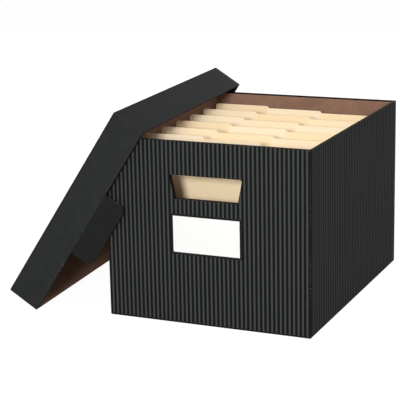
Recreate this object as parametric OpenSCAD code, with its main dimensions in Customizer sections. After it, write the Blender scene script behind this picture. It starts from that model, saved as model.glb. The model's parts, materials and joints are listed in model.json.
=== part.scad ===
// Portable file box: a folded corrugated box with double ends, its lift-off lid
// leaning on the left side, and a row of tabbed folders standing inside.
// X runs to the right along the front, Y to the back and Z up. The origin is the
// middle of the box's underside. Sizes are in millimetres.

/* [Box] */
// Outside width, left to right
box_w = 310; // [290:1:360]
// Outside depth, front to back
box_d = 406; // [385:1:480]
// Outside height without the lid
box_h = 266; // [262:1:300]
// Thickness of the corrugated board
board = 3; // [2:0.1:4]
// Radius on the outside of a folded crease
crease_r = 2; // [0.8:0.1:3]
// Length of the flaps that run from the sides in between the end layers
corner_flap_l = 78; // [40:1:84]
// Gap between the two floor flaps where they meet
flap_gap = 1; // [0.5:0.1:4]

/* [Hand holes] */
// Width of a hand hole along its top edge
hole_top_w = 111; // [90:1:130]
// Width of a hand hole along its bottom edge
hole_bottom_w = 97; // [80:1:110]
// Height of a hand hole
hole_h = 35; // [25:1:45]
// Distance from the rim of the box down to a hand hole
hole_drop = 48; // [38:1:70]
// Corner radius of a hand hole
hole_r = 3; // [1:0.5:8]

/* [Label] */
// Width of the label, with its border
label_w = 108; // [80:1:120]
// Height of the label, with its border
label_h = 59; // [40:1:70]
// Thickness of the label's paper
label_t = 0.3; // [0.2:0.05:0.6]
// Distance from the hand hole down to the label
label_drop = 21; // [10:1:40]

/* [Lid] */
// Gap between the lid's side flange and the box, on each side
lid_side_gap = 7; // [2:0.5:10]
// Gap between the lid's end lining and the box, at each end
lid_end_gap = 2; // [1.6:0.1:4]
// Height of the lid's flanges
flange_h = 51; // [40:1:60]
// Length of the tabs that run from the side flanges in between the end layers
lid_corner_l = 70; // [30:1:95]
// Angle at which the lid leans, from the floor; steeper where the rim is too high for it
lean = 57; // [52:0.5:66]
// Least height of the leaning lid's upper flange over the rim
flange_over_rim = 1; // [0.5:0.5:5]
// Angle by which the lid stands turned, its back end away from the box
lid_turn = 3.8; // [0:0.1:4]
// Clearance between the leaning lid and the rim that carries it
lean_gap = 0.2; // [0.1:0.1:1]

/* [Locking tabs] */
// Width of the locking tab that folds into a hand hole
lock_w = 106; // [70:1:108]
// Length of the locking tab, past the edge of its flange
lock_l = 36; // [20:1:40]
// Corner radius of the locking tab
lock_r = 9; // [3:0.5:12]
// Angle by which the locking tab is bent inwards
lock_bend = 4; // [0:0.5:8]
// Gap left by the crease that the locking tab turns about
crease_gap = 0.4; // [0.3:0.05:1]
// Gap round the cut that the locking tab leaves in the lining
cut_gap = 1; // [0.5:0.1:2]

/* [Folders] */
// Width of a folder
folder_w = 298; // [280:1:303]
// Height of a folder, with its tab
folder_h = 245; // [225:1:248]
// Height by which the tab stands above the folder
tab_rise = 13; // [8:0.5:18]
// Width of a folder's tab
tab_w = 94; // [80:1:95]
// Distance from the folder's edge to an outer tab
tab_inset = 5.5; // [4:0.5:12]
// Radius of the folder's corners
folder_r = 4.5; // [2:0.5:7]
// Thickness of the folder's card
card = 0.45; // [0.3:0.05:0.6]
// Distance from one folder to the next
folder_pitch = 17.5; // [12:0.5:18]
// Distance from the front of the box to the first folder's fold, where the row has room
first_folder = 86; // [40:1:88]
// Least gap between the last folder and the back end
last_folder_gap = 1; // [0.5:0.5:10]
// Gap between the leaves of neighbouring folders, below the tabs
leaf_gap = 0.8; // [0.75:0.05:1.5]
// Height of the pressed fold at the bottom of a folder
fold_h = 2; // [1:0.1:4]

/* [Hidden] */
// Tab place of each folder from the front: 0 is left, 1 is centre, 2 is right
tab_places = [1, 0, 2, 1, 0, 2, 1, 0, 2, 1, 0, 2, 1, 0, 2, 1, 0];
folder_count = len(tab_places);

half_w = box_w / 2;
half_d = box_d / 2;
end_t = 3 * board;
floor_t = 2 * board;
hole_top_z = box_h - hole_drop;
label_top_z = hole_top_z - hole_h - label_drop;

lid_w = box_w + 2 * (lid_side_gap + board);
lid_d = box_d + 2 * (lid_end_gap + end_t);
lid_lean = max(lean, asin((box_h + flange_over_rim) / (lid_w - board)));
lid_out = [-sin(lid_lean) * cos(lid_turn), -sin(lid_lean) * sin(lid_turn), cos(lid_lean)];
lid_reach = box_h / tan(lid_lean) + flange_h * sin(lid_lean);
lid_floor_y = (half_d + lid_end_gap) * cos(lid_turn) - lid_reach * sin(lid_turn) - half_d - lean_gap;
lid_floor_z = flange_h * cos(lid_lean);
lid_floor_x = -half_w
    + (board + lean_gap - lid_out[1] * (half_d + lid_floor_y) + lid_out[2] * (box_h - lid_floor_z)) / lid_out[0];
lock_axis_z = -flange_h - crease_gap - board / 2;

leaf_h = folder_h - tab_rise;
leaf_spread = (folder_pitch / 2 - leaf_gap / 2 - card) / (leaf_h - fold_h);
row_reach = (folder_count - 1) * folder_pitch + (folder_h - fold_h) * leaf_spread + card;
row_start = min(first_folder, box_d - end_t - last_folder_gap - row_reach);
tab_foot_r = min(folder_r, tab_inset - lean_gap) / 2;
tab_starts = [tab_inset, (folder_w - tab_w) / 2, folder_w - tab_inset - tab_w];

board_dark = [0.17, 0.18, 0.175];
board_lid = [0.19, 0.2, 0.195];
kraft = [0.5, 0.37, 0.29];
label_paper = [0.97, 0.97, 0.95];
manila = [0.96, 0.86, 0.69];
manila_shade = [0.9, 0.78, 0.62];

arc_steps = 6;

// Two digits of a folder's number, counted from the front
function folder_number(i) = str(i < 9 ? "0" : "", i + 1);

// Points of one rounded corner at p, between the points before and after it
function corner_arc(before, p, after, r) =
    let (
        u = (before - p) / norm(before - p),
        v = (after - p) / norm(after - p),
        half_angle = acos(u * v) / 2,
        centre = p + (u + v) / norm(u + v) * r / sin(half_angle),
        side = sign(u[0] * v[1] - u[1] * v[0]),
        start = p + u * r / tan(half_angle) - centre,
        start_angle = atan2(start[1], start[0]),
        sweep = side * (180 - 2 * half_angle)
    )
    [for (k = [0:arc_steps])
        centre + r * [cos(start_angle - sweep * k / arc_steps), sin(start_angle - sweep * k / arc_steps)]];

// An outline with each corner rounded to its own radius, where 0 leaves it sharp
function rounded(points, radii) =
    let (count = len(points))
    [for (i = [0:count - 1])
        each radii[i] == 0
            ? [points[i]]
            : corner_arc(points[(i + count - 1) % count], points[i], points[(i + 1) % count], radii[i])];

function rectangle(x0, z0, x1, z1) = [[x0, z0], [x1, z0], [x1, z1], [x0, z1]];

// An outline in the XZ plane, made solid from y0 to y1
module upright(y0, y1) {
    translate([0, y1, 0])
        rotate([90, 0, 0])
            linear_extrude(y1 - y0)
                children();
}

// An outline drawn as (y, z), made solid from x0 to x1
module lengthwise(x0, x1) {
    translate([x0, 0, 0])
        rotate([90, 0, 90])
            linear_extrude(x1 - x0)
                children();
}

// Box

// Turns a front part round to the back
module to_back() {
    rotate([0, 0, 180])
        children();
}

module box_floor() {
    color(board_dark)
        intersection() {
            upright(-half_d, half_d)
                polygon(rounded(rectangle(-half_w, 0, half_w, board), [crease_r, crease_r, 0, 0]));
            lengthwise(-half_w, half_w)
                polygon(rounded(rectangle(-half_d, 0, half_d, board), [crease_r, crease_r, 0, 0]));
        }
}

// One of the two flaps that double the floor; its hinge is on the left
module floor_flap() {
    color(kraft)
        translate([-half_w + board, -half_d + 2 * board, board])
            cube([half_w - board - flap_gap / 2, box_d - 4 * board, board]);
}

module box_floor_flap_left() {
    floor_flap();
}

module box_floor_flap_right() {
    to_back()
        floor_flap();
}

// A side of the box; its corners turn round into the flaps between the end layers
module side_wall() {
    color(board_dark)
        translate([0, 0, board])
            linear_extrude(box_h - board)
                polygon(rounded(
                    rectangle(-half_w, -half_d + board, -half_w + board, half_d - board),
                    [crease_r, 0, 0, crease_r]
                ));
}

module box_left_side() {
    side_wall();
}

module box_right_side() {
    to_back()
        side_wall();
}

module hand_hole() {
    polygon(rounded(
        [
            [-hole_bottom_w / 2, hole_top_z - hole_h],
            [hole_bottom_w / 2, hole_top_z - hole_h],
            [hole_top_w / 2, hole_top_z],
            [-hole_top_w / 2, hole_top_z]
        ],
        [hole_r, hole_r, hole_r, hole_r]
    ));
}

// Cuts the hand hole through whatever end layer it is given
module with_hand_hole() {
    difference() {
        children();
        upright(-half_d - board, -half_d + end_t + board)
            hand_hole();
    }
}

// Outer layer of an end, printed outside
module end_panel() {
    color(board_dark)
        with_hand_hole()
            lengthwise(-half_w, half_w)
                polygon(rounded(
                    rectangle(-half_d, board, -half_d + board, box_h),
                    [0, 0, 0, crease_r]
                ));
}

// Rolled rim and inner layer of an end, folded over the corner flaps
module end_lining() {
    color(kraft)
        with_hand_hole()
            lengthwise(-half_w + board, half_w - board)
                polygon(rounded(
                    [
                        [-half_d + board, box_h - board],
                        [-half_d + 2 * board, box_h - board],
                        [-half_d + 2 * board, floor_t],
                        [-half_d + end_t, floor_t],
                        [-half_d + end_t, box_h],
                        [-half_d + board, box_h]
                    ],
                    [0, 0, 0, 0, crease_r, 0]
                ));
}

// Flaps that run in from the two sides, between the layers of an end
module corner_flaps() {
    color(kraft)
        for (hand = [0, 1])
            mirror([hand, 0, 0])
                upright(-half_d + board, -half_d + 2 * board)
                    polygon(rounded(
                        rectangle(-half_w + board, board, -half_w + board + corner_flap_l, box_h - board),
                        [0, hole_r, hole_r, 0]
                    ));
}

module box_front_end() {
    end_panel();
}

module box_front_end_lining() {
    end_lining();
}

module box_front_corner_flaps() {
    corner_flaps();
}

module box_back_end() {
    to_back()
        end_panel();
}

module box_back_end_lining() {
    to_back()
        end_lining();
}

module box_back_corner_flaps() {
    to_back()
        corner_flaps();
}

module box_label() {
    color(label_paper)
        translate([-label_w / 2, -half_d - label_t, label_top_z - label_h])
            cube([label_w, label_t, label_h]);
}

// Lid, drawn with its top at z = 0 and its lower edge at x = 0. It stands on that edge,
// leans on the front corner of the rim, and hooks over it with its front end.

module leaned() {
    translate([lid_floor_x, lid_floor_y, lid_floor_z])
        rotate([0, -lid_lean, lid_turn])
            children();
}

// Turns a front part of the lid round to the back
module to_lid_back() {
    mirror([0, 1, 0])
        children();
}

module lid_top() {
    color(board_lid)
        leaned()
            intersection() {
                upright(-lid_d / 2, lid_d / 2)
                    polygon(rounded(rectangle(0, -board, lid_w, 0), [0, 0, crease_r, crease_r]));
                lengthwise(0, lid_w)
                    polygon(rounded(rectangle(-lid_d / 2, -board, lid_d / 2, 0), [0, 0, crease_r, crease_r]));
            }
}

// A long flange of the lid; its ends turn round into the corner tabs
module lid_side() {
    translate([0, 0, -flange_h])
        linear_extrude(flange_h - board)
            polygon(rounded(
                rectangle(0, -lid_d / 2 + board, board, lid_d / 2 - board),
                [crease_r, 0, 0, crease_r]
            ));
}

module lid_lower_side() {
    color(board_lid)
        leaned()
            lid_side();
}

module lid_upper_side() {
    color(board_lid)
        leaned()
            translate([lid_w, 0, 0])
                mirror([1, 0, 0])
                    lid_side();
}

// Outline of the locking tab's place on a lid end, grown by a gap
module lock_outline(gap) {
    middle = lid_w / 2;
    reach = lock_w / 2 + gap;
    polygon(rounded(
        rectangle(middle - reach, -flange_h - board, middle + reach, -flange_h + lock_l + gap),
        [0, 0, lock_r, lock_r]
    ));
}

// Outer layer of a lid end, printed outside
module lid_end() {
    color(board_lid)
        upright(-lid_d / 2, -lid_d / 2 + board)
            polygon(rectangle(0, -flange_h, lid_w, -board));
}

// Rolled edge and inner layer of a lid end, with the cut that the locking tab came from
module lid_end_lining() {
    color(kraft)
        difference() {
            lengthwise(board, lid_w - board)
                polygon(rounded(
                    [
                        [-lid_d / 2 + board, -flange_h],
                        [-lid_d / 2 + end_t, -flange_h],
                        [-lid_d / 2 + end_t, -board],
                        [-lid_d / 2 + 2 * board, -board],
                        [-lid_d / 2 + 2 * board, -flange_h + board],
                        [-lid_d / 2 + board, -flange_h + board]
                    ],
                    [0, crease_r, 0, 0, 0, 0]
                ));
            upright(-lid_d / 2, -lid_d / 2 + end_t + board)
                lock_outline(cut_gap);
        }
}

// Tabs that run in from the two long flanges, between the layers of a lid end
module lid_corner_tabs() {
    color(kraft)
        translate([lid_w / 2, 0, 0])
            for (hand = [0, 1])
                mirror([hand, 0, 0])
                    upright(-lid_d / 2 + board, -lid_d / 2 + 2 * board)
                        polygon(rounded(
                            rectangle(
                                -lid_w / 2 + board,
                                -flange_h + board,
                                -lid_w / 2 + board + lid_corner_l,
                                -board
                            ),
                            [0, lock_r, lock_r, 0]
                        ));
}

// Locking tab, turned about the crease at the edge of its flange
module lid_lock() {
    tab_length = lock_l - crease_gap - board / 2;
    color(board_lid)
        translate([lid_w / 2, -lid_d / 2 + board / 2, lock_axis_z])
            rotate([lock_bend, 0, 0]) {
                rotate([0, 90, 0])
                    cylinder(h = lock_w, d = board, center = true, $fn = 48);
                upright(-board / 2, board / 2)
                    polygon(rounded(
                        rectangle(-lock_w / 2, -tab_length, lock_w / 2, 0),
                        [lock_r, lock_r, 0, 0]
                    ));
            }
}

module lid_front_end() {
    leaned()
        lid_end();
}

module lid_front_end_lining() {
    leaned()
        lid_end_lining();
}

module lid_front_corner_tabs() {
    leaned()
        lid_corner_tabs();
}

module lid_front_lock() {
    leaned()
        lid_lock();
}

module lid_back_end() {
    leaned()
        to_lid_back()
            lid_end();
}

module lid_back_end_lining() {
    leaned()
        to_lid_back()
            lid_end_lining();
}

module lid_back_corner_tabs() {
    leaned()
        to_lid_back()
            lid_corner_tabs();
}

module lid_back_lock() {
    leaned()
        to_lid_back()
            lid_lock();
}

// Folders, each a front leaf and a taller back leaf that spring apart from a pressed fold

// Cross-section of one leaf: upright in the fold, then leaning away from the other leaf
function leaf_section(height) =
    let (lean_y = (height - fold_h) * leaf_spread)
    [
        [0, 0],
        [card, 0],
        [card, fold_h],
        [card + lean_y, height],
        [lean_y, height],
        [0, fold_h]
    ];

function front_leaf_outline() = rounded(
    rectangle(0, 0, folder_w, leaf_h),
    [0, 0, folder_r, folder_r]
);

function back_leaf_outline(tab_start) = rounded(
    [
        [0, 0],
        [folder_w, 0],
        [folder_w, leaf_h],
        [tab_start + tab_w, leaf_h],
        [tab_start + tab_w, folder_h],
        [tab_start, folder_h],
        [tab_start, leaf_h],
        [0, leaf_h]
    ],
    [0, 0, tab_foot_r, tab_foot_r, folder_r, folder_r, tab_foot_r, tab_foot_r]
);

// A leaf of the given height and outline, leaning to the back
module leaf(height, outline) {
    intersection() {
        lengthwise(0, folder_w)
            polygon(leaf_section(height));
        upright(-card, folder_pitch)
            polygon(outline);
    }
}

module folder_place(i) {
    translate([-folder_w / 2, -half_d + row_start + i * folder_pitch, floor_t])
        children();
}

module folder_front(i) {
    color(manila_shade)
        folder_place(i)
            mirror([0, 1, 0])
                leaf(leaf_h, front_leaf_outline());
}

module folder_back(i) {
    color(manila)
        folder_place(i)
            leaf(folder_h, back_leaf_outline(tab_starts[tab_places[i]]));
}

box_floor();
box_floor_flap_left();
box_floor_flap_right();
box_left_side();
box_right_side();
box_front_end();
box_front_end_lining();
box_front_corner_flaps();
box_back_end();
box_back_end_lining();
box_back_corner_flaps();
box_label();
lid_top();
lid_lower_side();
lid_upper_side();
lid_front_end();
lid_front_end_lining();
lid_front_corner_tabs();
lid_front_lock();
lid_back_end();
lid_back_end_lining();
lid_back_corner_tabs();
lid_back_lock();
for (i = [0:folder_count - 1]) {
    folder_front(i);
    folder_back(i);
}
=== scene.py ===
import json
import math

import bmesh
import bpy
from mathutils import Matrix, Vector


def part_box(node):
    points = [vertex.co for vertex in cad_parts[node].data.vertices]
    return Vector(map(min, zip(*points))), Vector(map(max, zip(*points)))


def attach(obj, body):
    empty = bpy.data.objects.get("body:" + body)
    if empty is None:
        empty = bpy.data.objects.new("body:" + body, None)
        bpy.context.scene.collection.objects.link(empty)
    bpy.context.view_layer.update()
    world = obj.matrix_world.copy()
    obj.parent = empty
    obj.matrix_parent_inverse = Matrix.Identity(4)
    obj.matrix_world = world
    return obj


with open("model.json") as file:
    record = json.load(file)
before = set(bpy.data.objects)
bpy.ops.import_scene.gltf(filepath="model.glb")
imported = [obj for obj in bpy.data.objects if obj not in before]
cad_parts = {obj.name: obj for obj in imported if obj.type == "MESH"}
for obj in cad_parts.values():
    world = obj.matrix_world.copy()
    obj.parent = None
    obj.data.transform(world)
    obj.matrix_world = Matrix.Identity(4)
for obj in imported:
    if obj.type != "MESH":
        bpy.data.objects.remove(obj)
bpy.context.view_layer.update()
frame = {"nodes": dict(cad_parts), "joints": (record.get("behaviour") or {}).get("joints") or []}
print("frame loaded:", len(frame["nodes"]), "nodes")

mm = 0.001
front = Vector((0, -1, 0))
back = Vector((0, 1, 0))
left = Vector((-1, 0, 0))
right = Vector((1, 0, 0))
up = Vector((0, 0, 1))
alongX, alongY, alongZ = 0, 1, 2  # as numbers of outputs and of list items


# Where things are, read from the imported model

def nodeBox(name):
    low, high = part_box(name)
    return Vector(low), Vector(high)


boxLow, boxHigh = nodeBox("box_floor")
halfWidth = boxHigh.x
halfDepth = boxHigh.y
board = boxHigh.z - boxLow.z
rimHeight = nodeBox("box_front_end")[1].z


def jointNamed(name):
    return next(joint for joint in frame["joints"] if joint["name"] == name)


# The lid's own directions: up its slope, level along its length, and out of its top panel
lidUp = Vector(jointNamed("front_lock_fold")["axis"]).normalized()
lidBack = Vector((-lidUp.y, lidUp.x, 0)).normalized()
lidOut = lidUp.cross(lidBack)


# Nodes and colours

def hexColour(text, alpha=1.0):
    channels = [int(text[i:i + 2], 16) / 255 for i in (1, 3, 5)]
    linear = [c / 12.92 if c <= 0.04045 else ((c + 0.055) / 1.055) ** 2.4 for c in channels]
    return (*linear, alpha)


def addNode(tree, kind, settings=None, inputs=None):
    node = tree.nodes.new(kind)
    for name, value in (settings or {}).items():
        setattr(node, name, value)
    for key, value in (inputs or {}).items():
        if isinstance(value, bpy.types.NodeSocket):
            tree.links.new(value, node.inputs[key])
        else:
            node.inputs[key].default_value = value
    return node


def emptyMaterial(name):
    material = bpy.data.materials.new(name)
    material.use_nodes = True
    material.node_tree.nodes.clear()
    return material, material.node_tree


def maths(tree, operation, first, second=0.0):
    inputs = {0: first, 1: second}
    return addNode(tree, "ShaderNodeMath", {"operation": operation}, inputs).outputs[0]


def mixColour(tree, factor, first, second):
    # Inputs 6 and 7 and output 2 are the colour sockets of a Mix node
    inputs = {"Factor": factor, 6: first, 7: second}
    return addNode(tree, "ShaderNodeMix", {"data_type": "RGBA"}, inputs).outputs[2]


def rangeOf(tree, value, fromLow, fromHigh, toLow, toHigh, smooth=False):
    kind = "SMOOTHSTEP" if smooth else "LINEAR"
    inputs = {0: value, 1: fromLow, 2: fromHigh, 3: toLow, 4: toHigh}
    return addNode(tree, "ShaderNodeMapRange", {"interpolation_type": kind}, inputs).outputs[0]


def share(tree, value, span, strength=1.0):
    # Nothing below the span, and the full strength above it
    return rangeOf(tree, value, *span, 0.0, strength)


def noise(tree, point, scale, detail):
    inputs = {"Vector": point, "Scale": scale, "Detail": detail}
    return addNode(tree, "ShaderNodeTexNoise", {}, inputs).outputs[0]


def stretched(tree, point, scale):
    return addNode(tree, "ShaderNodeMapping", {}, {"Vector": point, "Scale": scale}).outputs[0]


def partOf(tree, vector, axis):
    return addNode(tree, "ShaderNodeSeparateXYZ", {}, {0: vector}).outputs[axis]


def reachAlong(tree, vector, direction):
    inputs = {0: vector, 1: tuple(direction)}
    node = addNode(tree, "ShaderNodeVectorMath", {"operation": "DOT_PRODUCT"}, inputs)
    return node.outputs["Value"]


def facing(tree, normal, direction, limit):
    return maths(tree, "GREATER_THAN", reachAlong(tree, normal, direction), limit)


paperFinish = {
    "index": 1.5,          # refractive index of cellulose
    "bumpStrength": 0.6,
    "boardRoughness": 0.85,
    "boardGloss": 0.1,     # uncoated paper has hardly any highlight
}


def paperShader(tree, colour, bump, bumpDepth,
                roughness=paperFinish["boardRoughness"], gloss=paperFinish["boardGloss"]):
    bumpInputs = {"Height": bump, "Strength": paperFinish["bumpStrength"], "Distance": bumpDepth}
    normal = addNode(tree, "ShaderNodeBump", {}, bumpInputs)
    shader = addNode(tree, "ShaderNodeBsdfPrincipled", {}, {
        "Base Color": colour,
        "Normal": normal.outputs[0],
        "Roughness": roughness,
        "IOR": paperFinish["index"],
        "Specular IOR Level": gloss,
    })
    addNode(tree, "ShaderNodeOutputMaterial", {}, {0: shader.outputs[0]})


# Printed board: kraft linerboard with a flood coat of near-black ink, and a
# pinstripe that leaves a greyer line of thinner ink. Rough, almost no shine.

printing = {
    "stripePitch": (6.52 * mm, 7.75 * mm),  # on the ends and on the sides, which are printed apart
    "stripeShare": 0.37,      # part of the pitch that the grey line takes
    "stripeSoftness": 0.22,   # ink spreads in the liner, so the lines have soft edges
    "stripeOffset": 200.5,    # whole stripes to stay above zero, and a half to centre a line
    "ink": "#0f1010",
    "line": "#3f4240",
    "lidInk": "#232524",
    # The locking tabs' ink is darker than the lid's: painted shade for the shadow on the tabs
    "lockInkWithPaintedShade": "#181a19",
    "edgeInk": "#141413",
    "mottleScale": 90.0,      # blotches about 11 mm across
    "mottleSpan": (0.35, 0.65),
    "mottleLift": 1.16,       # how much paler the thin blotches are
    "scuff": "#6e675f",       # ink rubbed thin along the folds, with the liner showing through
    "scuffReach": 2.2 * mm,
    "speckScale": 420.0,      # specks about 2.4 mm apart
    "speckSpan": (0.52, 0.66),
    "speckStrength": 0.55,
    "patchScale": 22.0,       # in patches about 45 mm apart
    "patchSpan": (0.42, 0.6),
    "rimDepth": 1.6 * mm,     # how far the print comes round the rolled rim
}

kraft = {
    "liner": "#8b6b5a",
    "fibreLight": "#a2816d",
    "fibreDark": "#745746",
    "fibreScale": (900, 900, 140),  # fibres about 1 mm wide and 7 mm long
    "fibreSpan": (0.35, 0.7),
    "fibreStrength": 0.55,
    "cloudScale": 26.0,       # clouds about 40 mm across
    "cloudSpan": (0.45, 0.75),
    "cloudStrength": 0.4,
    "paintedHollowShade": "#2e231c",      # painted shade: the dark inside of the flutes, seen on a cut edge
    "cutLinerPaintedShade": "#463c35",    # cut kraft paper, darkened with painted shade
    # The cut fluting is darkened with painted shade too
    "cutFlutePaintedShade": "#574a41",
    "fuzzScale": 900.0,       # torn fibres about 1 mm across
    "fuzzSpan": (0.3, 0.7),
    "fuzzRoughness": 0.9,
    "fuzzDepth": 0.1 * mm,
}

flutes = {
    "pitch": 6.5 * mm,        # B flute
    "paper": 0.34 * mm,       # real liners are 0.25 mm; drawn thicker so that they show
    "proud": 0.1 * mm,        # how far the papers stand out of the crushed cut
    "steps": 8,               # points along one flute
    "margin": 2 * mm,         # how far a strip stops short of a corner
    "washboard": 0.35,        # the liner's sinking between the flutes, as a share of its grain
    "grainScale": 700.0,      # grain about 1.4 mm across
    "printDepth": 0.12 * mm,
    "kraftDepth": 0.15 * mm,
}

# Share of a face's normal above which it counts as facing that way
facingLimit = {"printed": 0.05, "inside": 0.3, "hidden": 0.5}


def kraftColour(tree, point):
    # Unbleached kraft: long fibres along the machine direction, and darker clouds
    fibres = noise(tree, stretched(tree, point, kraft["fibreScale"]), 1.0, detail=4.0)
    clouds = noise(tree, point, kraft["cloudScale"], detail=2.0)
    fibreShare = share(tree, fibres, kraft["fibreSpan"], kraft["fibreStrength"])
    cloudShare = share(tree, clouds, kraft["cloudSpan"], kraft["cloudStrength"])
    light = mixColour(tree, fibreShare, hexColour(kraft["liner"]), hexColour(kraft["fibreLight"]))
    return mixColour(tree, cloudShare, light, hexColour(kraft["fibreDark"]))


def inkColour(tree, point, ink):
    # A flood coat is never quite even: it mottles over the liner by a few per cent
    mottle = noise(tree, point, printing["mottleScale"], detail=3.0)
    pale = tuple(channel * printing["mottleLift"] for channel in hexColour(ink)[:3]) + (1.0,)
    return mixColour(tree, share(tree, mottle, printing["mottleSpan"]), hexColour(ink), pale)


def stripeColour(tree, point, axis):
    along = maths(tree, "DIVIDE", partOf(tree, point, axis), printing["stripePitch"][axis])
    phase = maths(tree, "FRACT", maths(tree, "ADD", along, printing["stripeOffset"]))
    fromLine = maths(tree, "ABSOLUTE", maths(tree, "SUBTRACT", phase, 0.5))
    half = printing["stripeShare"] / 2
    soft = printing["stripeSoftness"] / 2
    line = rangeOf(tree, fromLine, half - soft, half + soft, 1.0, 0.0, smooth=True)
    ink = inkColour(tree, point, printing["ink"])
    return mixColour(tree, line, ink, hexColour(printing["line"]))


def washboard(tree, point, axis):
    turn = maths(tree, "MULTIPLY", partOf(tree, point, axis), 2 * math.pi / flutes["pitch"])
    wave = maths(tree, "SINE", turn)
    grain = noise(tree, point, flutes["grainScale"], detail=2.0)
    return maths(tree, "ADD", maths(tree, "MULTIPLY", wave, flutes["washboard"]), grain)


def worn(tree, point, colour, planes):
    # Light rubbing along the folds: each plane is a direction and its distance from the origin
    nearest = None
    for direction, distance in planes:
        offset = maths(tree, "SUBTRACT", reachAlong(tree, point, direction), distance)
        gap = maths(tree, "ABSOLUTE", offset)
        nearest = gap if nearest is None else maths(tree, "MINIMUM", nearest, gap)
    near = rangeOf(tree, nearest, 0.0, printing["scuffReach"], 1.0, 0.0, smooth=True)
    speckNoise = noise(tree, point, printing["speckScale"], detail=4.0)
    specks = share(tree, speckNoise, printing["speckSpan"], printing["speckStrength"])
    patchNoise = noise(tree, point, printing["patchScale"], detail=2.0)
    patches = share(tree, patchNoise, printing["patchSpan"])
    amount = maths(tree, "MULTIPLY", near, maths(tree, "MULTIPLY", specks, patches))
    return mixColour(tree, amount, colour, hexColour(printing["scuff"]))


def boardMaterial(name, outward, look, fluteAxis=alongX, rim=False, folds=()):
    # The outward face has the print, the inward face bare liner, and the rest is cut edge with
    # painted shade from inside its flutes, or ink where the sheet rolls over at a rim
    material, tree = emptyMaterial(name)
    coordinates = addNode(tree, "ShaderNodeTexCoord")
    point = coordinates.outputs["Object"]
    normal = coordinates.outputs["Normal"]
    looks = {
        "stripes": lambda: stripeColour(tree, point, fluteAxis),
        "lid": lambda: inkColour(tree, point, printing["lidInk"]),
        # The tabs' darker ink is painted shade
        "lock": lambda: inkColour(tree, point, printing["lockInkWithPaintedShade"]),
        "edgeInk": lambda: inkColour(tree, point, printing["edgeInk"]),
    }
    printed = looks[look]()
    if folds:
        printed = worn(tree, point, printed, folds)
    # Cut edges that are not rolled rims take the painted shade from inside the flutes
    edge = looks["edgeInk"]() if rim else hexColour(kraft["paintedHollowShade"])
    colour = mixColour(tree, facing(tree, normal, outward, facingLimit["printed"]), edge, printed)
    inward = facing(tree, normal, -outward, facingLimit["inside"])
    colour = mixColour(tree, inward, colour, kraftColour(tree, point))
    paperShader(tree, colour, washboard(tree, point, fluteAxis), flutes["printDepth"])
    return material


def kraftMaterial(name):
    material, tree = emptyMaterial(name)
    point = addNode(tree, "ShaderNodeTexCoord").outputs["Object"]
    bump = washboard(tree, point, alongX)
    paperShader(tree, kraftColour(tree, point), bump, flutes["kraftDepth"])
    return material


def liningMaterial(name, outward):
    # Kraft towards the inside of the box, print on the hidden face and round the rolled rim,
    # painted flute shade on cut edges
    material, tree = emptyMaterial(name)
    coordinates = addNode(tree, "ShaderNodeTexCoord")
    point = coordinates.outputs["Object"]
    normal = coordinates.outputs["Normal"]
    inward = facing(tree, normal, -outward, facingLimit["inside"])
    bare = mixColour(tree, inward, hexColour(kraft["paintedHollowShade"]), kraftColour(tree, point))
    rimBottom = rimHeight - printing["rimDepth"]
    atRim = maths(tree, "GREATER_THAN", partOf(tree, point, alongZ), rimBottom)
    printed = maths(tree, "MAXIMUM", atRim, facing(tree, normal, outward, facingLimit["hidden"]))
    colour = mixColour(tree, printed, bare, inkColour(tree, point, printing["edgeInk"]))
    paperShader(tree, colour, washboard(tree, point, alongX), flutes["kraftDepth"])
    return material


def fluteMaterial():
    # Cut linerboard and fluting medium: fuzzy, and darkened with painted shade
    material, tree = emptyMaterial("cutCorrugated")
    point = addNode(tree, "ShaderNodeTexCoord").outputs["Object"]
    fuzz = noise(tree, point, kraft["fuzzScale"], detail=2.0)
    fuzzShare = share(tree, fuzz, kraft["fuzzSpan"])
    colour = mixColour(tree, fuzzShare, hexColour(kraft["cutLinerPaintedShade"]), hexColour(kraft["cutFlutePaintedShade"]))
    paperShader(tree, colour, fuzz, kraft["fuzzDepth"], kraft["fuzzRoughness"])
    return material


# Folders: manila card, a warm buff with faint long fibres

manila = {
    "tones": ["#feebc9", "#feeed0", "#fce6bf"],
    "toneOrder": (0, 2, 1, 1, 0, 2, 2, 1, 0),  # an uneven order along the row of leaves
    "fibre": "#f8d9ab",
    "fibreScale": (120, 900, 900),  # fibres about 1 mm wide and 8 mm long
    "fibreSpan": (0.45, 0.75),
    "fibreStrength": 0.35,
    "fleck": "#e3bd8a",
    "fleckScale": 1100.0,  # flecks under 1 mm across
    "fleckSpan": (0.72, 0.8),
    "fleckStrength": 0.5,
    "roughness": 0.75,
    "depth": 0.06 * mm,
    "gloss": 0.3,
}


def manilaMaterial(index, tone):
    material, tree = emptyMaterial(f"manilaCard{index + 1}")
    point = addNode(tree, "ShaderNodeTexCoord").outputs["Object"]
    fibres = noise(tree, stretched(tree, point, manila["fibreScale"]), 1.0, detail=5.0)
    flecks = noise(tree, point, manila["fleckScale"], detail=1.0)
    fibreShare = share(tree, fibres, manila["fibreSpan"], manila["fibreStrength"])
    fleckShare = share(tree, flecks, manila["fleckSpan"], manila["fleckStrength"])
    colour = mixColour(tree, fibreShare, hexColour(tone), hexColour(manila["fibre"]))
    colour = mixColour(tree, fleckShare, colour, hexColour(manila["fleck"]))
    paperShader(tree, colour, fibres, manila["depth"], manila["roughness"], manila["gloss"])
    return material


# Label: smooth white paper with a black border printed on it

label = {
    "paper": "#e0e0de",
    "border": "#0a0b0b",
    "borderWidth": 3.2 * mm,
    "grainScale": 800.0,  # grain about 1.2 mm across
    "roughness": 0.6,
    "depth": 0.02 * mm,
    "gloss": 0.2,
}


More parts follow.
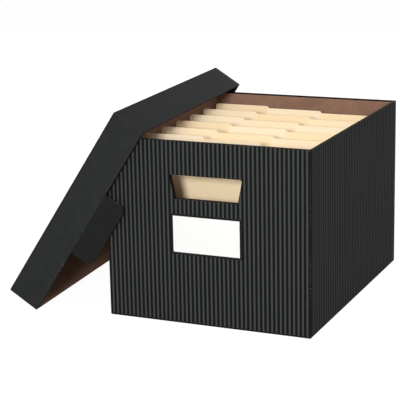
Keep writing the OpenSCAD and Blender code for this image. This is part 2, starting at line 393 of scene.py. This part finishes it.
def labelMaterial():
    material, tree = emptyMaterial("labelPaper")
    low, high = nodeBox("box_label")
    centre = (low + high) / 2
    size = high - low
    point = addNode(tree, "ShaderNodeTexCoord").outputs["Object"]
    across = maths(tree, "ABSOLUTE", maths(tree, "SUBTRACT", partOf(tree, point, alongX), centre.x))
    upward = maths(tree, "ABSOLUTE", maths(tree, "SUBTRACT", partOf(tree, point, alongZ), centre.z))
    atSide = maths(tree, "GREATER_THAN", across, size.x / 2 - label["borderWidth"])
    atTop = maths(tree, "GREATER_THAN", upward, size.z / 2 - label["borderWidth"])
    border = maths(tree, "MAXIMUM", atSide, atTop)
    colour = mixColour(tree, border, hexColour(label["paper"]), hexColour(label["border"]))
    grain = noise(tree, point, label["grainScale"], detail=2.0)
    paperShader(tree, colour, grain, label["depth"], label["roughness"], label["gloss"])
    return material


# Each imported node's finish

def dress(node, material):
    target = frame["nodes"][node]
    target.data.materials.clear()
    target.data.materials.append(material)


def dressBoard(node, material, outward, look, **settings):
    dress(node, boardMaterial(material, outward, look, **settings))


def dressBox():
    corners = [(right, halfWidth), (right, -halfWidth)]
    ends = [(back, halfDepth), (back, -halfDepth)]
    levels = [(up, 0.0), (up, rimHeight)]
    across, along = corners + levels, ends + levels
    dressBoard("box_front_end", "printedFront", front, "stripes", rim=True, folds=across)
    dressBoard("box_back_end", "printedBack", back, "stripes", rim=True, folds=across)
    dressBoard("box_left_side", "printedLeft", left, "stripes", fluteAxis=alongY, folds=along)
    dressBoard("box_right_side", "printedRight", right, "stripes", fluteAxis=alongY, folds=along)
    dressBoard("box_floor", "printedFloor", -up, "edgeInk", rim=True, folds=corners + ends)
    bare = kraftMaterial("kraftBoard")
    for end, outward in (("front", front), ("back", back)):
        dress(f"box_{end}_end_lining", liningMaterial(f"kraftLining_{end}", outward))
        dressBoard(f"box_{end}_corner_flaps", f"cornerFlaps_{end}", outward, "edgeInk")
    for side in ("left", "right"):
        dress(f"box_floor_flap_{side}", bare)
    dress("box_label", labelMaterial())


def reach(node, direction):
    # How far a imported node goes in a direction, from the origin
    return max(vertex.co.dot(direction) for vertex in frame["nodes"][node].data.vertices)


# The lid's faces in its own directions
lid = {
    "low": -reach("lid_lower_side", -lidUp),
    "high": reach("lid_upper_side", lidUp),
    "near": -reach("lid_front_end", -lidBack),
    "far": reach("lid_back_end", lidBack),
    "edge": -reach("lid_upper_side", -lidOut),
    "top": reach("lid_top", lidOut),
}


def dressLid():
    top, edge = (lidOut, lid["top"]), (lidOut, lid["edge"])
    low, high = (lidUp, lid["low"]), (lidUp, lid["high"])
    near, far = (lidBack, lid["near"]), (lidBack, lid["far"])
    dressBoard("lid_top", "lidTop", lidOut, "lid", rim=True, folds=[low, high, near, far])
    sides = [top, edge, near, far]
    dressBoard("lid_lower_side", "lidLowerSide", -lidUp, "lid", fluteAxis=alongY, folds=sides)
    dressBoard("lid_upper_side", "lidUpperSide", lidUp, "lid", fluteAxis=alongY, folds=sides)
    for end, outward in (("front", -lidBack), ("back", lidBack)):
        dressBoard(f"lid_{end}_end", f"lidEnd_{end}", outward, "lid", folds=[top, edge, low, high])
        dressBoard(f"lid_{end}_end_lining", f"lidLining_{end}", -outward, "edgeInk", rim=True)
        dress(f"lid_{end}_corner_tabs", kraftMaterial(f"lidCorner_{end}"))
        # Locking tabs: lid print darkened with painted shade
        dressBoard(f"lid_{end}_lock", f"lidLock_{end}", outward, "lock", folds=[edge])


def dressFolders():
    tones = [manilaMaterial(i, tone) for i, tone in enumerate(manila["tones"])]
    leaves = sorted(name for name in frame["nodes"] if name.startswith("folder_"))
    order = manila["toneOrder"]
    for i, name in enumerate(leaves):
        dress(name, tones[order[i % len(order)]])


dressBox()
dressLid()
dressFolders()
print("packed nodes dressed")


# Flutes: the wavy paper between the liners, seen wherever the board is cut

def fluteTree(material):
    tree = bpy.data.node_groups.new("fluteStrip", "GeometryNodeTree")
    tree.interface.new_socket("Geometry", in_out="OUTPUT", socket_type="NodeSocketGeometry")
    for name in ("Length", "Thickness", "Pitch", "Paper", "Proud"):
        tree.interface.new_socket(name, in_out="INPUT", socket_type="NodeSocketFloat")
    group = addNode(tree, "NodeGroupInput")
    length, thickness, pitch, paper, proud = group.outputs[:5]
    height = maths(tree, "MULTIPLY", proud, 2.0)

    end = addNode(tree, "ShaderNodeCombineXYZ", {}, {"X": length})
    line = addNode(tree, "GeometryNodeCurvePrimitiveLine", {}, {"End": end.outputs[0]})
    waves = maths(tree, "DIVIDE", length, pitch)
    count = maths(tree, "ADD", maths(tree, "MULTIPLY", waves, float(flutes["steps"])), 1.0)
    points = addNode(tree, "GeometryNodeResampleCurve", {}, {
        "Curve": line.outputs[0], "Count": count})
    place = partOf(tree, addNode(tree, "GeometryNodeInputPosition").outputs[0], alongX)
    turn = maths(tree, "DIVIDE", maths(tree, "MULTIPLY", place, 2 * math.pi), pitch)
    swing = maths(tree, "SUBTRACT", maths(tree, "MULTIPLY", thickness, 0.5), paper)
    sway = maths(tree, "MULTIPLY", maths(tree, "SINE", turn), swing)
    offset = addNode(tree, "ShaderNodeCombineXYZ", {}, {"Y": sway})
    wave = addNode(tree, "GeometryNodeSetPosition", {}, {
        "Geometry": points.outputs[0], "Offset": offset.outputs[0]})
    section = addNode(tree, "GeometryNodeCurvePrimitiveQuadrilateral", {}, {
        "Width": paper, "Height": height})
    ribbon = addNode(tree, "GeometryNodeCurveToMesh", {}, {
        "Curve": wave.outputs[0], "Profile Curve": section.outputs[0], "Fill Caps": True})

    sheets = [ribbon.outputs[0]]
    halfThickness = maths(tree, "MULTIPLY", thickness, 0.5)
    halfGap = maths(tree, "SUBTRACT", halfThickness, maths(tree, "MULTIPLY", paper, 0.5))
    for side in (-1.0, 1.0):
        size = addNode(tree, "ShaderNodeCombineXYZ", {}, {"X": length, "Y": paper, "Z": height})
        sheet = addNode(tree, "GeometryNodeMeshCube", {}, {"Size": size.outputs[0]})
        where = addNode(tree, "ShaderNodeCombineXYZ", {}, {
            "X": maths(tree, "MULTIPLY", length, 0.5), "Y": maths(tree, "MULTIPLY", halfGap, side)})
        moved = addNode(tree, "GeometryNodeTransform", {}, {
            "Geometry": sheet.outputs[0], "Translation": where.outputs[0]})
        sheets.append(moved.outputs[0])
    joined = addNode(tree, "GeometryNodeJoinGeometry")
    for sheet in sheets:
        tree.links.new(sheet, joined.inputs[0])
    real = addNode(tree, "GeometryNodeRealizeInstances", {}, {0: joined.outputs[0]})
    painted = addNode(tree, "GeometryNodeSetMaterial", {}, {
        "Geometry": real.outputs[0], "Material": material})
    addNode(tree, "NodeGroupOutput", {}, {0: painted.outputs[0]})
    return tree


def socketNamed(tree, name):
    return next(item.identifier for item in tree.interface.items_tree if item.name == name)


def fluteStrip(tree, length):
    holder = bpy.data.objects.new("fluteHolder", bpy.data.meshes.new("fluteHolder"))
    bpy.context.collection.objects.link(holder)
    modifier = holder.modifiers.new("flutes", "NODES")
    modifier.node_group = tree
    sizes = {
        "Length": length,
        "Thickness": board - 2 * flutes["proud"],
        "Pitch": flutes["pitch"],
        "Paper": flutes["paper"],
        "Proud": flutes["proud"],
    }
    for name, value in sizes.items():
        modifier[socketNamed(tree, name)] = value
    evaluated = holder.evaluated_get(bpy.context.evaluated_depsgraph_get())
    mesh = bpy.data.meshes.new_from_object(evaluated)
    bpy.data.objects.remove(holder)
    return mesh


def alongEdge(start, end, across):
    # A frame with X along the edge, Y across the board's thickness and Z out of the cut
    along = (end - start).normalized()
    across = across.normalized()
    out = along.cross(across)
    rotation = Matrix((along, across, out)).transposed()
    return Matrix.Translation(start) @ rotation.to_4x4()


def addPiece(name, body, shape, material):
    mesh = bpy.data.meshes.new(name)
    shape.to_mesh(mesh)
    shape.free()
    mesh.materials.append(material)
    piece = bpy.data.objects.new(name, mesh)
    bpy.context.collection.objects.link(piece)
    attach(piece, body)


def buildFlutes(name, body, edges, tree, material):
    joined = bmesh.new()
    for start, end, across in edges:
        strip = fluteStrip(tree, (end - start).length)
        strip.transform(alongEdge(start, end, across))
        joined.from_mesh(strip)
        bpy.data.meshes.remove(strip)
    addPiece(name, body, joined, material)


def boxRims():
    # The raw top edges of the two sides, between the rolled rims of the ends
    halfLength = halfDepth - board - flutes["margin"]
    edges = []
    for side in (-1, 1):
        x = side * (halfWidth - board / 2)
        start, end = Vector((x, -halfLength, rimHeight)), Vector((x, halfLength, rimHeight))
        edges.append((start, end, right))
    return edges


handHole = {
    "drop": 48 * mm,  # from the rim to its head
    "height": 35 * mm,
    "bottomWidth": 97 * mm,
    "topWidth": 111 * mm,
    "cornerRadius": 3 * mm,
    "layers": (0.5, 2.5),  # middles of the outer layer and of the lining, in boards from outside
}


def holeEdges():
    # Sills and heads of the hand holes, once for each layer of an end
    top = rimHeight - handHole["drop"]
    bottom = top - handHole["height"]
    sill = handHole["bottomWidth"] / 2 - handHole["cornerRadius"]
    head = handHole["topWidth"] / 2 - handHole["cornerRadius"]
    edges = []
    for end in (-1, 1):
        for layer in handHole["layers"]:
            y = end * (halfDepth - layer * board)
            edges.append((Vector((sill, y, bottom)), Vector((-sill, y, bottom)), -back))
            edges.append((Vector((-head, y, top)), Vector((head, y, top)), -back))
    return edges


def lidPoint(alongSlope, alongLength, outward):
    return lidUp * alongSlope + lidBack * alongLength + lidOut * outward


def lidEdges():
    # The raw side edges of the outer end layers, and the lower edges of the long flanges
    margin = flutes["margin"]
    near, far = lid["near"] + board + margin, lid["far"] - board - margin
    low, high = lid["edge"] + margin, lid["top"] - board - margin
    edges = []
    for slope, side in ((lid["low"], -1), (lid["high"], 1)):
        for length in (lid["near"] + board / 2, lid["far"] - board / 2):
            start, end = lidPoint(slope, length, low), lidPoint(slope, length, high)
            edges.append((start, end, -side * lidBack))
        inset = slope - side * board / 2
        start, end = lidPoint(inset, near, lid["edge"]), lidPoint(inset, far, lid["edge"])
        edges.append((start, end, lidUp))
    return edges


lock = {
    "lean": 4.0,  # degrees that the tab leans inwards at rest
    "cornerRadius": 9 * mm,
}


def lockEdges(end):
    # The two cut sides of a locking tab, from its crease to its rounded corners
    node = f"lid_{end}_lock"
    axis = Vector(jointNamed(f"{end}_lock_fold")["pos_m"])
    lean = math.radians(lock["lean"])
    inward = lidBack if end == "front" else -lidBack
    down = -lidOut * math.cos(lean) + inward * math.sin(lean)
    across = down.cross(lidUp)
    halfTab = reach(node, lidUp) - axis.dot(lidUp)
    straight = reach(node, down) - axis.dot(down) - lock["cornerRadius"]
    edges = []
    for side in (-1, 1):
        corner = axis + lidUp * (side * halfTab)
        edges.append((corner + down * board, corner + down * straight, -side * across))
    return edges


fluteBrown = fluteMaterial()
fluteGroup = fluteTree(fluteBrown)
buildFlutes("boxRimFlutes", "box", boxRims(), fluteGroup, fluteBrown)
buildFlutes("handHoleFlutes", "box", holeEdges(), fluteGroup, fluteBrown)
buildFlutes("lidFlutes", "lid", lidEdges(), fluteGroup, fluteBrown)
for end in ("front", "back"):
    edges = lockEdges(end)
    buildFlutes(f"{end}LockFlutes", f"{end}_lock", edges, fluteGroup, fluteBrown)
print("cut edges fluted")


# Creases: the papers that run on from a lid end to its locking tab, so that no
# light shows between them

crease = {
    "thickness": 0.65,    # of the board's, because a crease is crushed
    "overlap": 0.2 * mm,  # how far the papers go into the flange
}


def buildCrease(end, outward):
    axis = Vector(jointNamed(f"{end}_lock_fold")["pos_m"])
    length = 2 * (reach(f"lid_{end}_lock", lidUp) - axis.dot(lidUp))
    rise = -reach(f"lid_{end}_end", -lidOut) - axis.dot(lidOut) + crease["overlap"]
    columns = (lidUp * length, lidBack * crease["thickness"] * board, lidOut * rise)
    place = Matrix.Translation(axis + lidOut * rise / 2) @ Matrix(columns).transposed().to_4x4()
    shape = bmesh.new()
    bmesh.ops.create_cube(shape, size=1.0, matrix=place)
    # The crease takes the locking tabs' ink, darkened with painted shade
    material = boardMaterial(f"crease_{end}", outward, "lock")
    addPiece(f"{end}LockCrease", "lid", shape, material)


buildCrease("front", -lidBack)
buildCrease("back", lidBack)
print("creases closed")


# Floor, light and camera

studio = {
    "worldStrength": 0.27,
    "floorSize": 30.0,
    "floorGlow": 0.94,        # what the camera sees of the floor's own white
    "floorShade": "#727271",  # and what carries the shadow
    "floorLight": 0.30,       # lit white acrylic: the floor lights the undersides a little
    "floorWhite": "#c4c4c3",
    "lampTarget": (0, 0, 0.1),
}

# Each lamp's place, watts and size
lamps = {
    "frontKey": ((0.46, -2.41, 0.84), 43.0, 0.4),
    "rightFill": ((2.3, -0.5, 0.7), 10.0, 1.4),
    "backFill": ((-0.2, 2.6, 1.0), 30.0, 1.4),
    "leftFill": ((-2.6, 0.3, 1.1), 22.0, 1.4),
    "overhead": ((0.1, -1.9, 1.9), 6.0, 0.8),
}

# Fitted to the corners of the box in the photograph; angles in degrees
photoCamera = {
    "place": Vector((0.7657, -1.9242, 0.6538)),
    "azimuth": 24.212,
    "elevation": 13.956,
    "roll": -1.232,
    "focalPixels": 1394.8,
    "imagePixels": 400.0,
    "sensor": 36.0,
}


def makeWorld():
    world = bpy.data.worlds.new("whiteRoom")
    bpy.context.scene.world = world
    world.use_nodes = True
    tree = world.node_tree
    tree.nodes.clear()
    rays = addNode(tree, "ShaderNodeLightPath").outputs
    seen = maths(tree, "MAXIMUM", rays["Is Camera Ray"], rays["Is Transmission Ray"])
    strength = rangeOf(tree, seen, 0.0, 1.0, studio["worldStrength"], 1.0)
    light = addNode(tree, "ShaderNodeBackground", {}, {
        "Color": hexColour("#ffffff"), "Strength": strength})
    addNode(tree, "ShaderNodeOutputWorld", {}, {0: light.outputs[0]})


def makeFloor():
    mesh = bpy.data.meshes.new("floor")
    half = studio["floorSize"] / 2
    corners = [(-half, -half, 0), (half, -half, 0), (half, half, 0), (-half, half, 0)]
    mesh.from_pydata(corners, [], [(0, 1, 2, 3)])
    floor = bpy.data.objects.new("floor", mesh)
    bpy.context.collection.objects.link(floor)
    material, tree = emptyMaterial("whiteSweep")
    path = addNode(tree, "ShaderNodeLightPath")
    white = addNode(tree, "ShaderNodeBsdfDiffuse", {}, {"Color": hexColour(studio["floorWhite"])})
    light = addNode(tree, "ShaderNodeEmission", {}, {"Strength": studio["floorLight"]})
    matt = addNode(tree, "ShaderNodeAddShader", {}, {0: white.outputs[0], 1: light.outputs[0]})
    shade = addNode(tree, "ShaderNodeBsdfDiffuse", {}, {"Color": hexColour(studio["floorShade"])})
    glow = addNode(tree, "ShaderNodeEmission", {}, {"Strength": studio["floorGlow"]})
    seen = addNode(tree, "ShaderNodeAddShader", {}, {0: shade.outputs[0], 1: glow.outputs[0]})
    chosen = addNode(tree, "ShaderNodeMixShader", {}, {
        0: path.outputs["Is Camera Ray"], 1: matt.outputs[0], 2: seen.outputs[0]})
    addNode(tree, "ShaderNodeOutputMaterial", {}, {0: chosen.outputs[0]})
    mesh.materials.append(material)


def makeLamp(name, place, power, size):
    lamp = bpy.data.lights.new(name, "AREA")
    lamp.energy = power
    lamp.size = size
    holder = bpy.data.objects.new(name, lamp)
    holder.location = place
    aim = Vector(studio["lampTarget"]) - Vector(place)
    holder.rotation_euler = aim.to_track_quat("-Z", "Y").to_euler()
    bpy.context.collection.objects.link(holder)


def makeCamera():
    azimuth = math.radians(photoCamera["azimuth"])
    elevation = math.radians(photoCamera["elevation"])
    roll = math.radians(photoCamera["roll"])
    forward = Vector((
        -math.sin(azimuth) * math.cos(elevation),
        math.cos(azimuth) * math.cos(elevation),
        -math.sin(elevation),
    ))
    sideways = Vector((math.cos(azimuth), math.sin(azimuth), 0))
    upward = sideways.cross(forward)
    rolledRight = sideways * math.cos(roll) + upward * math.sin(roll)
    rolledUp = upward * math.cos(roll) - sideways * math.sin(roll)
    camera = bpy.data.cameras.new("photoCamera")
    camera.sensor_width = photoCamera["sensor"]
    camera.lens = photoCamera["focalPixels"] * photoCamera["sensor"] / photoCamera["imagePixels"]
    holder = bpy.data.objects.new("photoCamera", camera)
    turn = Matrix((rolledRight, rolledUp, -forward)).transposed()
    holder.matrix_world = Matrix.Translation(photoCamera["place"]) @ turn.to_4x4()
    bpy.context.collection.objects.link(holder)
    bpy.context.scene.camera = holder


makeWorld()
makeFloor()
for lampName, (place, power, size) in lamps.items():
    makeLamp(lampName, place, power, size)
makeCamera()
bpy.context.scene.view_settings.view_transform = "Standard"
print("studio ready")
